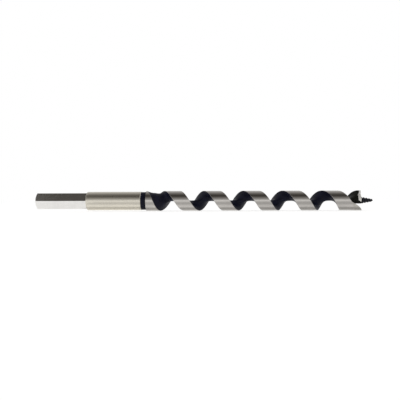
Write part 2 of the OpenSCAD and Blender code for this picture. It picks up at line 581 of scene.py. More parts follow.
def close_mesh(mesh: bpy.types.Mesh) -> None:
    """Merges doubles, drops faces with no area and turns the faces outward.

    Args:
        mesh: the mesh, which is changed.
    """
    work = bmesh.new()
    work.from_mesh(mesh)
    bmesh.ops.remove_doubles(work, verts=work.verts, dist=WELD)
    bmesh.ops.dissolve_degenerate(work, edges=work.edges, dist=SLIVER)
    bmesh.ops.recalc_face_normals(work, faces=work.faces)
    work.to_mesh(mesh)
    work.free()


def skin(name: str, rings: Sequence[np.ndarray], ground: np.ndarray | None = None) -> bpy.types.Object:
    """Closes rings of points into a solid. The first and last ring each lie in one point.

    Args:
        name: name of the piece.
        rings: the rings, each with the same number of rows of x, y, z in millimetres.
        ground: for each ring and place round it, how far the finish shows it ground, from 0 to 1.

    Returns:
        The closed piece.
    """
    around = len(rings[0])
    here = np.arange(around)
    beside = np.roll(here, -1)
    strip = np.stack([here, beside, beside + around, here + around], 1)
    faces = np.concatenate([strip + k * around for k in range(len(rings) - 1)])
    mesh = bpy.data.meshes.new(name)
    mesh.from_pydata((np.concatenate(rings) * MM).tolist(), [], faces.tolist())
    if ground is not None:
        mark = mesh.attributes.new(GROUND, "FLOAT", "CORNER")
        mark.data.foreach_set("value", ground.ravel()[faces.ravel()].astype(np.float32))
    close_mesh(mesh)
    return linked(name, mesh)


def pinched(point: np.ndarray, around: int) -> np.ndarray:
    """A ring whose points all lie in one."""
    return np.tile(point, (around, 1))


def revolve(name: str, profile: Sequence[tuple[float, float]], around: int) -> bpy.types.Object:
    """Turns a profile about the axis.

    Args:
        name: name of the piece.
        profile: station and radius of each point, from one end of the axis to the other.
        around: steps of a turn.

    Returns:
        The closed piece.
    """
    circle = on_circle(np.linspace(0, 2 * np.pi, around, endpoint=False))
    return skin(name, [np.column_stack([np.full(around, x), r * circle]) for x, r in profile])


def apply_modifier(piece: bpy.types.Object, modifier: bpy.types.Modifier) -> None:
    """Turns what a modifier makes of a piece into the piece's own plain mesh.

    Args:
        piece: the piece.
        modifier: its one modifier, which is removed.
    """
    seen = piece.evaluated_get(bpy.context.evaluated_depsgraph_get())
    mesh = bpy.data.meshes.new_from_object(seen)
    piece.modifiers.remove(modifier)
    piece.data = mesh


def from_nodes(name: str, graph: Graph, values: dict[str, object]) -> bpy.types.Object:
    """Runs a Geometry Nodes tree and keeps its result as a plain mesh.

    Args:
        name: name of the piece.
        graph: the tree.
        values: input name to its value.

    Returns:
        The piece, with no modifier left on it.
    """
    made = linked(name, bpy.data.meshes.new(name + "_seed"))
    modifier = made.modifiers.new("form", "NODES")
    modifier.node_group = graph.tree
    for item in graph.tree.interface.items_tree:
        if item.in_out == "INPUT":
            modifier[item.identifier] = values[item.name]
    apply_modifier(made, modifier)
    close_mesh(made.data)
    return made


def unite(piece: bpy.types.Object, other: bpy.types.Object) -> None:
    """Joins a second solid to a piece as one skin.

    Args:
        piece: the piece.
        other: the second solid, which is deleted.
    """
    modifier = piece.modifiers.new("join", "BOOLEAN")
    modifier.operation = "UNION"
    modifier.solver = "EXACT"
    modifier.object = other
    apply_modifier(piece, modifier)
    bpy.data.objects.remove(other)


# Finishes

def paint(colour: Colour, level: float = 1.0) -> tuple[float, float, float, float]:
    """A colour with its opacity, made darker or paler."""
    return tuple(c * level for c in colour) + (1.0,)


class SharedEffects:
    """Shader groups that more than one finish uses, each built once."""

    FINE_MARKS: ClassVar[Grain] = Grain(5200.0, 130.0, 2.0)
    BROAD_MARKS: ClassVar[Grain] = Grain(900.0, 60.0)
    FINE_SHARE: ClassVar[float] = 0.65
    STEEL_CLOUD: ClassVar[Grain] = Grain(210.0, 210.0, 4.0)
    COAT_GRAIN: ClassVar[Grain] = Grain(2600.0, 2600.0)
    COAT_CLOUD: ClassVar[Grain] = Grain(320.0, 320.0, 4.0)
    LAND_BORDER: ClassVar[Grain] = Grain(1500.0, 1500.0, 3.0, 0.65)
    BORDER_RAGGED: ClassVar[float] = 0.05
    BORDER_DEPTH: ClassVar[float] = 0.045
    BORDER_FADE: ClassVar[float] = 0.08

    def __init__(self) -> None:
        """Builds the groups."""
        self.marks = self.make_marks()
        self.mottle = self.make_mottle()
        self.land = self.make_land()

    def make_marks(self) -> Graph:
        """Fine rings that a grinding wheel leaves about the axis, and broader clouding.

        Returns:
            The group.
        """
        inputs = [("Place", "Vector", None), ("Depth", "Float", 0.5)]
        outputs = {"Marks": "Float", "Clouding": "Float"}
        graph = Graph.group("Grinding marks", TreeKind.SHADER, inputs, outputs)
        place = graph.input("Place")
        broad, fine = graph.noise(place, self.BROAD_MARKS), graph.noise(place, self.FINE_MARKS)
        marks = (blend(broad, fine, self.FINE_SHARE) - 0.5) * graph.input("Depth") + 0.5
        return graph.finish({"Marks": marks, "Clouding": graph.noise(place, self.STEEL_CLOUD)})

    def make_mottle(self) -> Graph:
        """Slight unevenness of a baked coat: a grain to feel and a clouding to see.

        Returns:
            The group.
        """
        inputs = [("Place", "Vector", None)]
        graph = Graph.group("Coat mottle", TreeKind.SHADER, inputs, {"Grain": "Float", "Clouding": "Float"})
        place = graph.input("Place")
        grain, cloud = graph.noise(place, self.COAT_GRAIN), graph.noise(place, self.COAT_CLOUD)
        return graph.finish({"Grain": grain, "Clouding": cloud})

    def make_land(self) -> Graph:
        """Where the outer land is ground through the coat, by its radius.

        Returns:
            The group.
        """
        inputs = [
            ("Place", "Vector", None),
            ("Twist Radius", "Float", FLUTE.twist_d / 2),
            ("Head Radius", "Float", FLUTE.cutting_d / 2),
            ("Fade", "Float", self.BORDER_FADE),
        ]
        graph = Graph.group("Ground land", TreeKind.SHADER, inputs, {"Mask": "Float"})
        place = graph.input("Place")
        x, y, z = graph.split(place)
        radius = graph.distance(y, z) / MM
        swell = graph.fit(x / MM, AT.head, FLUTE.swell_end)
        full = blend(graph.input("Twist Radius"), graph.input("Head Radius"), swell) - self.BORDER_DEPTH
        ragged = (graph.noise(place, self.LAND_BORDER) - 0.5) * self.BORDER_RAGGED
        return graph.finish({"Mask": graph.fit(radius + ragged, full - graph.input("Fade"), full)})


@dataclass(frozen=True)
class Layer:
    """What one layer of a finish gives to the shader."""

    colour: Term
    rough: Term
    height: Term
    metal: Term

    def over(self, below: "Layer", mask: Field) -> "Layer":
        """Lays this layer over another.

        Args:
            below: the other layer.
            mask: 1 where this layer is, and 0 where the other one shows.

        Returns:
            The two as one layer.
        """
        return Layer(
            mask.graph.mix(mask, below.colour, self.colour),
            blend(below.rough, self.rough, mask),
            blend(below.height, self.height, mask),
            blend(below.metal, self.metal, mask),
        )


@dataclass(frozen=True, kw_only=True)
class Finish:
    """What every finish has: a name, a gloss and a fine relief."""

    name: str
    gloss: float = 0.5

    RELIEF_STRENGTH: ClassVar[float] = 0.12
    RELIEF_DEPTH: ClassVar[float] = 0.02

    def layer(self, place: Field, effects: SharedEffects) -> Layer:
        """What the finish gives to the shader at a place on the piece, as one layer."""
        raise NotImplementedError

    def make(self, effects: SharedEffects) -> bpy.types.Material:
        """Builds the material.

        Args:
            effects: the shared shader groups.

        Returns:
            The material.
        """
        material = bpy.data.materials.new(self.name)
        material.use_nodes = True
        graph = Graph(material.node_tree)
        layer = self.layer(graph.out(graph.node("ShaderNodeTexCoord"), "Object"), effects)
        bump = graph.node("ShaderNodeBump", {
            "Strength": self.RELIEF_STRENGTH, "Distance": self.RELIEF_DEPTH * MM, "Height": layer.height})
        graph.put_all(material.node_tree.nodes["Principled BSDF"], {
            "Base Color": layer.colour,
            "Roughness": layer.rough,
            "Metallic": layer.metal,
            "Specular IOR Level": self.gloss,
            "Normal": graph.out(bump),
        })
        return material


@dataclass(frozen=True, kw_only=True)
class GroundSteel(Finish):
    """Bare steel, ground bright."""

    colour: Colour
    rough: float
    mark_depth: float = 0.3
    mark_dark: float = 0.85
    clouding: float = 0.08

    MARK_SHARE: ClassVar[float] = 0.6
    MARK_RANGE: ClassVar[tuple[float, float]] = (0.32, 0.62)
    MARK_ROUGH: ClassVar[float] = 0.25
    MARK_HEIGHT: ClassVar[float] = 0.8

    def layer(self, place: Field, effects: SharedEffects) -> Layer:
        """The steel's layer, from the shared marks.

        Args:
            place: the place on the piece.
            effects: the shared shader groups.

        Returns:
            The layer.
        """
        graph = place.graph
        marks = graph.use(effects.marks, {"Place": place, "Depth": self.mark_depth})
        line, cloud = graph.out(marks, "Marks"), graph.out(marks, "Clouding")
        tone = graph.fit(blend(cloud, line, self.MARK_SHARE), *self.MARK_RANGE, Ease.STRAIGHT)
        return Layer(
            colour=graph.mix(tone, paint(self.colour, self.mark_dark), paint(self.colour)),
            rough=self.rough + (0.5 - line) * self.MARK_ROUGH + (cloud - 0.5) * self.clouding,
            height=line * self.MARK_HEIGHT,
            metal=1.0,
        )


@dataclass(frozen=True, kw_only=True)
class BlackCoat(Finish):
    """A baked black coat on forged steel."""

    gloss: float = 0.15
    colour: Colour = (0.0044, 0.0052, 0.0155)
    rough: float = 0.50

    PALER: ClassVar[float] = 1.9
    CLOUD_RANGE: ClassVar[tuple[float, float]] = (0.35, 0.7)
    CLOUD_ROUGH: ClassVar[float] = 0.3
    GRAIN_HEIGHT: ClassVar[float] = 2.0

    def layer(self, place: Field, effects: SharedEffects) -> Layer:
        """The coat's layer, from the shared mottle.

        Args:
            place: the place on the piece.
            effects: the shared shader groups.

        Returns:
            The layer.
        """
        graph = place.graph
        mottle = graph.use(effects.mottle, {"Place": place})
        grain, cloud = graph.out(mottle, "Grain"), graph.out(mottle, "Clouding")
        tone = graph.fit(cloud, *self.CLOUD_RANGE)
        return Layer(
            colour=graph.mix(tone, paint(self.colour), paint(self.colour, self.PALER)),
            rough=self.rough + (cloud - 0.5) * self.CLOUD_ROUGH,
            height=grain * self.GRAIN_HEIGHT,
            metal=0.0,
        )


@dataclass(frozen=True, kw_only=True)
class CoatedLand(Finish):
    """A black coat that is ground through to bright steel on the outer land, and on a marked lip."""

    gloss: float = BlackCoat.gloss
    coat: BlackCoat
    steel: GroundSteel
    tip: BlackCoat | None = None
    lip: GroundSteel | None = None

    TIP_FADE: ClassVar[float] = 7.0
    LIP_EDGE: ClassVar[tuple[float, float]] = (0.35, 0.65)

    def layer(self, place: Field, effects: SharedEffects) -> Layer:
        """The coat with its tip, steel where the land is ground, and the lip over both.

        Args:
            place: the place on the piece.
            effects: the shared shader groups.

        Returns:
            All of them as one layer.
        """
        graph = place.graph
        layer = self.coat.layer(place, effects)
        if self.tip:
            along = graph.fit(graph.split(place)[0] / MM, AT.head, AT.head + self.TIP_FADE)
            layer = self.tip.layer(place, effects).over(layer, along)
        mask = graph.out(graph.use(effects.land, {"Place": place}))
        layer = self.steel.layer(place, effects).over(layer, mask)
        if self.lip:
            mark = graph.out(graph.node("ShaderNodeAttribute", attribute_name=GROUND), "Fac")
            layer = self.lip.layer(place, effects).over(layer, graph.fit(mark, *self.LIP_EDGE))
        return layer


class Finishes:
    """The materials of the bit, each built once from the shared effects."""

    def __init__(self) -> None:
        """Builds the materials."""
        effects = SharedEffects()
        coat = BlackCoat(name="twist_coat")
        tip = BlackCoat(name="tip_coat", colour=(0.0046, 0.0052, 0.0030))
        land = GroundSteel(name="land_steel", colour=(0.50, 0.48, 0.455), rough=0.13, mark_depth=0.5)
        lip = GroundSteel(name="lip_steel", colour=(0.90, 0.89, 0.86), rough=0.72, mark_dark=0.92)
        shank = GroundSteel(name="bright_shank", colour=(0.84, 0.83, 0.81), rough=0.13, mark_dark=0.9)
        stem = GroundSteel(
            name="ground_stem", colour=(0.67, 0.635, 0.555), rough=0.28, mark_depth=0.2, mark_dark=0.92,
            clouding=0.03)
        # The spur's own grey steel, darkened further as painted shadow for the shade under its lower side.
        spur = GroundSteel(
            name="spur_steel", colour=(0.47, 0.455, 0.42), rough=0.32, mark_depth=0.8, clouding=0.15)
        self.shank = shank.make(effects)
        self.stem = stem.make(effects)
        self.neck = BlackCoat(name="neck_coat").make(effects)
        self.twist = CoatedLand(name="coated_twist", coat=coat, steel=land).make(effects)
        self.head = CoatedLand(name="coated_head", coat=coat, steel=land, tip=tip, lip=lip).make(effects)
        self.spur = spur.make(effects)
        self.screw = BlackCoat(name="screw_coat", colour=(0.006, 0.006, 0.011), rough=0.38).make(effects)


# Pieces

@dataclass(kw_only=True)
class Piece:
    """A part of the bit with one mesh of its own."""

    name: str
    node: Node
    slot: Slot
    finish: bpy.types.Material
    crease: float = 30.0

    def build(self) -> bpy.types.Object:
        """Makes the mesh."""
        raise NotImplementedError

    def dress(self, made: bpy.types.Object) -> None:
        """Shades the mesh, gives it its finish and ties it to the CAD.

        Args:
            made: the piece's object.
        """
        made.data.shade_smooth()
        made.data.set_sharp_from_angle(angle=math.radians(self.crease))
        made.data.materials.clear()
        made.data.materials.append(self.finish)
        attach(made, BODY)
        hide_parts(self.node.value)
        count = sum(len(p.vertices) - 2 for p in made.data.polygons)
        LOG.info("%s: %d triangles, in %s", self.name, count, self.finish.name)


@dataclass(kw_only=True)
class HexShank(Piece):
    """The hexagonal shank, with flats facing up and down and its end turned to a chamfer."""

    name: str = "shank"
    node: Node = Node.HEX_SHANK
    slot: Slot = Slot.GROUND_STEEL
    shoulder: Shoulder = Shoulder()
    end_d: float = 7.6
    end_slope: float = 30.0
    end_round: float = 0.12
    end_rise: float = 0.036  # how far the end's rounded edge rises along the axis
    corner_round: float = 0.5
    corner_steps: int = 6
    flat_steps: int = 18
    chamfer_shares: tuple[float, ...] = (0.08, 0.5, 0.94)  # places of rings on the chamfer
    chamfer_lap: float = 0.05  # how far past the chamfer the first ring on the flats lies
    flat_from: float = 0.03  # share of the flats' length where the next ring lies
    flat_rings: int = 10

    SIDES: ClassVar[int] = 6

    def outline(self) -> np.ndarray:
        """The hexagon with rounded corners.

        Returns:
            Rows of y, z.
        """
        half_side = math.pi / self.SIDES
        reach = (self.shoulder.across_flats / 2 - self.corner_round) / math.cos(half_side)
        spread = np.linspace(-half_side, half_side, self.corner_steps + 1)
        turns = 2 * half_side * np.arange(self.SIDES)
        corners = [reach * on_circle(a) + self.corner_round * on_circle(a + spread) for a in turns]
        shares = np.linspace(0, 1, self.flat_steps + 1)[1:-1, None]
        points = []
        for corner, following in zip(corners, corners[1:] + corners[:1]):
            points += [corner, blend(corner[-1], following[0], shares)]
        return np.concatenate(points)

    def build(self) -> bpy.types.Object:
        """Makes the shank: end face, chamfer, flats and the run-out on the stem's shoulder.

        Returns:
            The piece.
        """
        outline = self.outline()
        radius = np.linalg.norm(outline, axis=1)
        way = outline / radius[:, None]
        half = self.shoulder.across_flats / 2
        end_r = self.end_d / 2
        lap_x = self.shoulder.start
        chamfer_x = (radius - end_r) * math.tan(math.radians(self.end_slope))
        run_out_x = lap_x + (radius - half) / self.shoulder.slope
        steps = [(0.0, 0.0), (0.0, end_r - self.end_round), (self.end_rise, end_r)]
        steps += [(chamfer_x * k, blend(end_r, radius, k)) for k in self.chamfer_shares]
        steps.append((chamfer_x + self.chamfer_lap, radius))
        flat_shares = np.linspace(self.flat_from, 1.0, self.flat_rings)
        steps += [(blend(chamfer_x, run_out_x, k), radius) for k in flat_shares]
        steps += [(lap_x, half), (lap_x, 0.0)]
        rings = []
        for x, r in steps:
            rings.append(np.column_stack([np.full_like(radius, x), way * np.full_like(radius, r)[:, None]]))
        return skin(self.name, rings)


@dataclass(kw_only=True)
class RoundStem(Piece):
    """The ground stem and its shoulder, with both edges of its wall slightly rounded."""

    name: str = "stem"
    node: Node = Node.ROUND_STEM
    slot: Slot = Slot.GROUND_STEEL
    shoulder: Shoulder = Shoulder()
    shoulder_edge: Pairs = ((-0.02, 0.09), (0.03, 0.02))  # way along and depth of each point
    end_edge: Pairs = ((-0.20, 0.02), (-0.04, 0.17), (0.0, 0.20))  # the same at the other end
    wall_inset: tuple[float, float] = (0.12, 0.26)  # where the plain wall starts and ends
    wall_rings: int = 24
    around: int = 144

    def build(self) -> bpy.types.Object:
        """Turns the stem's profile. An edge's points are given by their way along and their depth.

        Returns:
            The piece.
        """
        r, lap_x = self.shoulder.stem_d / 2, self.shoulder.start
        first, last = self.wall_inset
        wall = np.linspace(AT.hex_end + first, AT.stem_end - last, self.wall_rings)
        profile = [(lap_x, 0.0), (lap_x, self.shoulder.across_flats / 2)]
        profile += [(AT.hex_end + along, r - deep) for along, deep in self.shoulder_edge]
        profile += [(x, r) for x in wall]
        profile += [(AT.stem_end + along, r - deep) for along, deep in self.end_edge]
        profile.append((AT.stem_end, 0.0))
        return revolve(self.name, profile, self.around)


@dataclass(kw_only=True)
class ReliefNeck(Piece):
    """The short turned-down band before the twist."""

    name: str = "neck"
    node: Node = Node.RELIEF_NECK
    slot: Slot = Slot.BLACK_COAT
    diameter: float = 12.5
    hollow: float = 0.05
    hollow_power: float = 0.6
    rings: int = 13
    around: int = 144

    def build(self) -> bpy.types.Object:
        """Turns the neck's profile, with a slight hollow along it.

        Returns:
            The piece.
        """
        stations = np.linspace(AT.stem_end, AT.twist, self.rings)
        bow = np.sin(np.linspace(0, np.pi, self.rings)) ** self.hollow_power
        wall = zip(stations, self.diameter / 2 - self.hollow * bow)
        return revolve(self.name, [(AT.stem_end, 0.0), *wall, (AT.twist, 0.0)], self.around)


@dataclass(kw_only=True)
class SweptPiece(Piece):
    """A piece that a Geometry Nodes tree bends from a flat grid, with its rows along the axis."""

    rings: int
    around: int

    TREE: ClassVar[str]
    CAP_ROWS: ClassVar[int]
    SOCKETS: ClassVar[dict[type, str]] = {int: "Int", float: "Float", bpy.types.Material: "Material"}

    def sizes(self) -> dict[str, float]:
        """Name and value of the tree's own inputs, with angles in radians."""
        raise NotImplementedError

    def bend(self, graph: Graph, row: Field, turn: Field) -> tuple[Field, Field, Field]:
        """Takes a point of the grid to its place on the piece.

        Args:
            graph: the tree.
            row: number of the point's row. Row 0 is the cap at the start, and the rings start at row 1.
            turn: share of the way round the piece, from 0 to 1.

        Returns:
            The place's x, y and z in millimetres.
        """
        raise NotImplementedError

    def build(self) -> bpy.types.Object:
        """Makes the tree, from the grid to real faces with their material, and runs it.

        Returns:
            The piece.
        """
        values = self.sizes() | {"Rings": self.rings, "Around": self.around, "Material": self.finish}
        inputs = [(name, self.SOCKETS[type(value)], value) for name, value in values.items()]
        graph = Graph.group(self.TREE, TreeKind.GEOMETRY, inputs, {"Geometry": "Geometry"})
        rows = graph.input("Rings") + self.CAP_ROWS
        grid = graph.node("GeometryNodeMeshGrid", {
            "Size X": 1.0, "Size Y": 1.0, "Vertices X": rows, "Vertices Y": graph.input("Around") + 1})
        along, side, _ = graph.split(graph.out(graph.node("GeometryNodeInputPosition")))
        row = graph.math("ROUND", (along + 0.5) * (rows - 1))
        place = graph.join(*(part * MM for part in self.bend(graph, row, side + 0.5)))
        last = graph.node("GeometryNodeSetPosition", {"Geometry": grid.outputs["Mesh"], "Position": place})
        for kind, settings in (
            ("GeometryNodeMergeByDistance", {"Distance": WELD}),
            ("GeometryNodeRealizeInstances", {}),
            ("GeometryNodeSetMaterial", {"Material": graph.input("Material")}),
        ):
            last = graph.node(kind, {"Geometry": last.outputs[0]} | settings)
        return from_nodes(self.name, graph.finish({"Geometry": last.outputs[0]}), values)


@dataclass(kw_only=True)
class Twist(SweptPiece):
    """The open twist: a plain collar, the flute's run-out and the full turns up to the head."""

    name: str = "twist_lands"
    node: Node = Node.TWIST
    slot: Slot = Slot.BLACK_COAT
    crease: float = 50.0
    flute: Flute = FLUTE
    rings: int = 420
    around: int = 168

    TREE: ClassVar[str] = "Open twist"
    CAP_ROWS: ClassVar[int] = 2
    POINT_INPUTS: ClassVar[tuple[str, ...]] = ("Share", "Lead Half", "Back Half", "Depth")
    SIZE_INPUTS: ClassVar[tuple[str, ...]] = (
        "Land Radius", "Land Share", "Core Past", "Core Round", "Scoop", "Scoop Share")

    def sizes(self) -> dict[str, float]:
        """The tree's own inputs.

        Returns:
            Name and value of each, with angles in radians.
        """
        rule = self.flute
        angles = {
            "Land Arc": rule.land_arc, "End Turn": rule.turn(AT.head), "Lip Lead": rule.lip_lead,
            "Scoop": rule.scoop, "Entry Close": rule.entry_close,
        }
        return {
            "Start": AT.twist, "End": AT.head, "Flute Start": AT.flute, "Lip": AT.lip, "Pitch": rule.pitch,
            "Land Radius": rule.twist_d / 2, "Widening": rule.widen_l, "Core Past": rule.core_past,
            "Core Round": max(rule.core_round, rule.nose_blunt * rule.core_past),
            "Scoop Share": rule.scoop_share, "Run-out": rule.run_out, "Entry Share": rule.entry_share,
            "Entry Depth": rule.entry_depth, "Open Share": rule.open_share, "Land Share": rule.land_share,
            "Edge Round": rule.edge_round, "Fan Share": rule.fan_share,
        } | {name: math.radians(angle) for name, angle in angles.items()}

    def section_group(self) -> Graph:
        """A node group that gives one point of the section before it is turned.

        Returns:
            The group.
        """
        names = self.POINT_INPUTS + self.SIZE_INPUTS
        inputs = [(name, "Float", 0.0) for name in names]
        graph = Graph.group("Twist section", TreeKind.GEOMETRY, inputs, {"U": "Float", "V": "Float"})
        share, lead, back, depth, r, land_share, *wall_sizes = map(graph.input, names)
        share = graph.math("FRACT", share)
        land_angle = (lead + back) * (share / land_share) - back
        flute = (share - land_share) / (1 - land_share)
        uncut = lead + (2 * math.pi - lead - back) * flute
        wall = flute_wall(graph, flute, lead, back, r, *wall_sizes)
        results = {}
        for name, way, cut in zip("UV", (graph.cos, graph.sin), wall):
            cut = blend(r * way(uncut), cut, depth)
            results[name] = blend(cut, r * way(land_angle), share < land_share)
        return graph.finish(results)

    def bend(self, graph: Graph, row: Field, turn: Field) -> tuple[Field, Field, Field]:
        """Sweeps the section along the axis, with the flute's run-out at the start.

        Args:
            graph: the tree.
            row: number of the point's row, with a cap at both ends.
            turn: share of the way round: the land up to a half, then the flute.

        Returns:
            The place's x, y and z in millimetres.
        """
        get = graph.input
        cap = (row < 0.5) + (row > get("Rings") + 0.5)
        x = graph.fit(row, 1.0, get("Rings"), Ease.STRAIGHT, get("Start"), get("End"))
        share = graph.fit(turn, 0.0, 0.5, Ease.STRAIGHT, 0.0, get("Land Share"))
        share = share + graph.fit(turn, 0.5, 1.0, Ease.STRAIGHT, 0.0, 1 - get("Land Share"))
        run = (x - get("Flute Start")) / get("Run-out")
        entry = graph.math("SQRT", graph.fit(run, 0.0, get("Entry Share"), Ease.STRAIGHT))
        depth = blend(graph.fit(run, get("Entry Share"), 1.0), entry, get("Entry Depth"))
        close = graph.fit(run, 0.0, get("Open Share"), Ease.SMOOTH, get("Entry Close"), 0.0)
        back = get("Land Arc") / 2 + close
        widening = graph.fit(x, get("Lip") - get("Widening"), get("Lip"), Ease.STRAIGHT)
        lead = back + get("Lip Lead") * widening
        section = self.section_group()
        sizes = {name: get(name) for name in self.SIZE_INPUTS}
        u, v = 0.0, 0.0
        for step, weight in self.flute.TAPS:
            point = (share + get("Edge Round") * step, lead, back, depth)
            tap = graph.use(section, dict(zip(self.POINT_INPUTS, point)) | sizes)
            u = graph.out(tap, "U") * weight + u
            v = graph.out(tap, "V") * weight + v
        u = blend(u, get("Fan Share") * get("Land Radius"), cap)
        v = v * (1 - cap)
        angle = get("End Turn") - (get("End") - x) * 2 * math.pi / get("Pitch")
        c, s = graph.cos(angle), graph.sin(angle)
        return x, u * c - v * s, u * s + v * c


@dataclass(kw_only=True)
class CuttingHead(Piece):
    """The swelled end of the twist, with its throat, its lip and the boss of the lead screw."""

    name: str = "head"
    node: Node = Node.CUTTING_HEAD
    slot: Slot = Slot.BLACK_COAT
    crease: float = 38.0
    flute: Flute = FLUTE
    around: int = 168
    rings: int = 36
    bevel_rings: int = 6
    cap_rings: int = 8
    boss_d: float = 4.6
    boss_sink: float = 8.0  # how far behind the lip the boss starts
    boss_cone: float = 5.0  # length of its pointed foot
    boss_edge: float = 0.15
    boss_around: int = 72
    bevel_reach: float = 0.53  # share of the flute that the lip's grinding goes along
    end_reach: float = 0.4  # share of the land after which its end is ground
    grind_reach: tuple[float, float] = (1.0, 1.85)  # how far back it goes, at the rim and the core
    grind_between: tuple[float, float] = (0.04, 0.3)  # shares of the flute where it changes over
    grind_fade: float = 0.8  # length over which the grinding's mark ends

    def shares(self) -> np.ndarray:
        """Places of the rings along the head: even steps to the bevel, and then the bevel's own.

        Returns:
            Shares of the head's length.
        """
        bevel = 1 - self.flute.bevel_l / (AT.lip - AT.head)
        lip = np.linspace(bevel, 1, self.bevel_rings + 1)[1:]
        return np.concatenate([np.linspace(0, bevel, self.rings), lip])

    def build(self) -> bpy.types.Object:
        """Skins the head and joins the boss to it.

        Returns:
            The piece.
        """
        rule = self.flute
        land_points = self.around // 2
        land = np.linspace(0, rule.land_share, land_points, endpoint=False)
        share = np.append(land, np.linspace(rule.land_share, 1, self.around - land_points, endpoint=False))
        end = rule.end_x(share)
        rings = [rule.head_point(blend(AT.head, end, k), share) for k in self.shares()]
        start = pinched(rule.fan_point(AT.head, AT.head), self.around)
        middle = rule.fan_point(AT.lip - rule.relief / 2, AT.lip)
        cap = [blend(rings[-1], middle, k) for k in np.linspace(0, 1, self.cap_rings + 1)]
        made = skin(self.name, [start, *rings, *cap], self.ground_points(share))
        unite(made, self.boss())
        return made

    def boss(self) -> bpy.types.Object:
        """The blank of the boss that the screw stands on.

        Returns:
            The closed blank.
        """
        r, foot = self.boss_d / 2, AT.lip - self.boss_sink
        return revolve("boss_blank", [
            (foot, 0.0), (foot + self.boss_cone, r), (AT.screw - self.boss_edge, r),
            (AT.screw, r - self.boss_edge), (AT.screw, 0.0)], self.boss_around)

    def ground_points(self, share: np.ndarray) -> np.ndarray:
        """Which points are ground: the lip's bevel and the end behind the lip, up to the spur.

        Args:
            share: places round the section.

        Returns:
            For each ring and place, how far the point there is ground, from 0 to 1.
        """
        flute = self.flute.along_flute(share)
        on_bevel = (flute >= 0) & (flute < self.bevel_reach)
        on_end = (share > self.end_reach * self.flute.land_share) & (flute < self.bevel_reach)
        low, high = self.grind_between
        reach = blend(*self.grind_reach, eased((flute - low) / (high - low)))
        back = (1 - self.shares()[:, None]) * (AT.lip - AT.head)
        skirt = on_bevel * np.clip(0.5 + (reach - back) / self.grind_fade, 0, 1)
        return np.vstack([np.zeros_like(share), skirt, np.tile(on_end, (self.cap_rings + 1, 1))])


@dataclass(kw_only=True)
class ScoringSpur(Piece):
    """The wall on the cutting diameter that scores the hole's rim ahead of the lip."""

    name: str = "spur"
    node: Node = Node.SCORING_SPUR
    slot: Slot = Slot.GROUND_STEEL
    crease: float = 40.0
    flute: Flute = FLUTE
    out: float = 0.9  # how far it stands ahead of the lip
    tail: float = 0.55  # share of the head's corner where it starts
    bend: float = 2.4  # power of its rise
    root_t: float = 1.8  # thickness at its root
    edge_t: float = 0.4  # thickness at its edge
    thinning: float = 4.0  # power by which the root thins towards the lip
    sink: float = 1.2  # how far its inner wall goes into the head
    wall_sink: float = 0.25  # how far its outer wall does
    foot_in: float = 0.3  # how far the foot lies inside the cutting diameter
    land_reach: float = 3 / 14  # share of the land's end that it runs along
    rings: int = 40
    wall_steps: int = 6

    def foot(self) -> np.ndarray:
        """The line that the spur stands on: the head's corner, then the end of its land.

        Returns:
            Rows of station and angle.
        """
        rule = self.flute
        corner_rings = self.rings // 2
        x = blend(AT.head, AT.lip - rule.relief, np.linspace(self.tail, 1, corner_rings))
        land_steps = self.rings - corner_rings + 1
        share = np.linspace(0, self.land_reach * rule.land_share, land_steps)[1:]
        return np.concatenate([self.on_face(x, np.zeros_like(x)), self.on_face(rule.end_x(share), share)])

    def on_face(self, x: np.ndarray, share: np.ndarray) -> np.ndarray:
        """Points of the head's sharp outline.

        Args:
            x: stations.
            share: places round the section.

        Returns:
            Rows of station and angle.
        """
        flat = self.flute.head_outline(x, share)
        angle = np.arctan2(flat[:, 1], flat[:, 0]) + np.radians(self.flute.turn(x))
        return np.stack([x, angle], 1)

    def build(self) -> bpy.types.Object:
        """Skins the spur from its tail to its leading edge.

        Returns:
            The piece.
        """
        foot = self.foot()
        start = foot[0, 0]
        angles = np.unwrap(foot[:, 1])
        shares = (angles - angles[0]) / (angles[-1] - angles[0])
        r = self.flute.cutting_d / 2
        wall = np.linspace(0, 1, self.wall_steps + 1)
        rings = []
        for x, angle, t in zip(foot[:, 0], angles, shares):
            climb = 1 - (1 - t) ** self.bend
            top = max(x + self.edge_t, blend(start, AT.lip + self.out, climb))
            root_r = r - blend(self.root_t, self.edge_t, t ** self.thinning)
            low = x - self.sink
            line = np.concatenate([
                np.stack([blend(low, top, wall), blend(root_r, r - self.edge_t, wall)], 1),
                [[top, r - self.edge_t / 2]],
                np.stack([blend(top, x - self.wall_sink, wall), np.full_like(wall, r)], 1),
                [[low, r - self.foot_in]],
            ])
            rings.append(np.column_stack([line[:, 0], line[:, 1:] * on_circle(angle)]))
        first, last = (pinched(ring.mean(0), len(ring)) for ring in (rings[0], rings[-1]))
        return skin(self.name, [first, *rings, last])


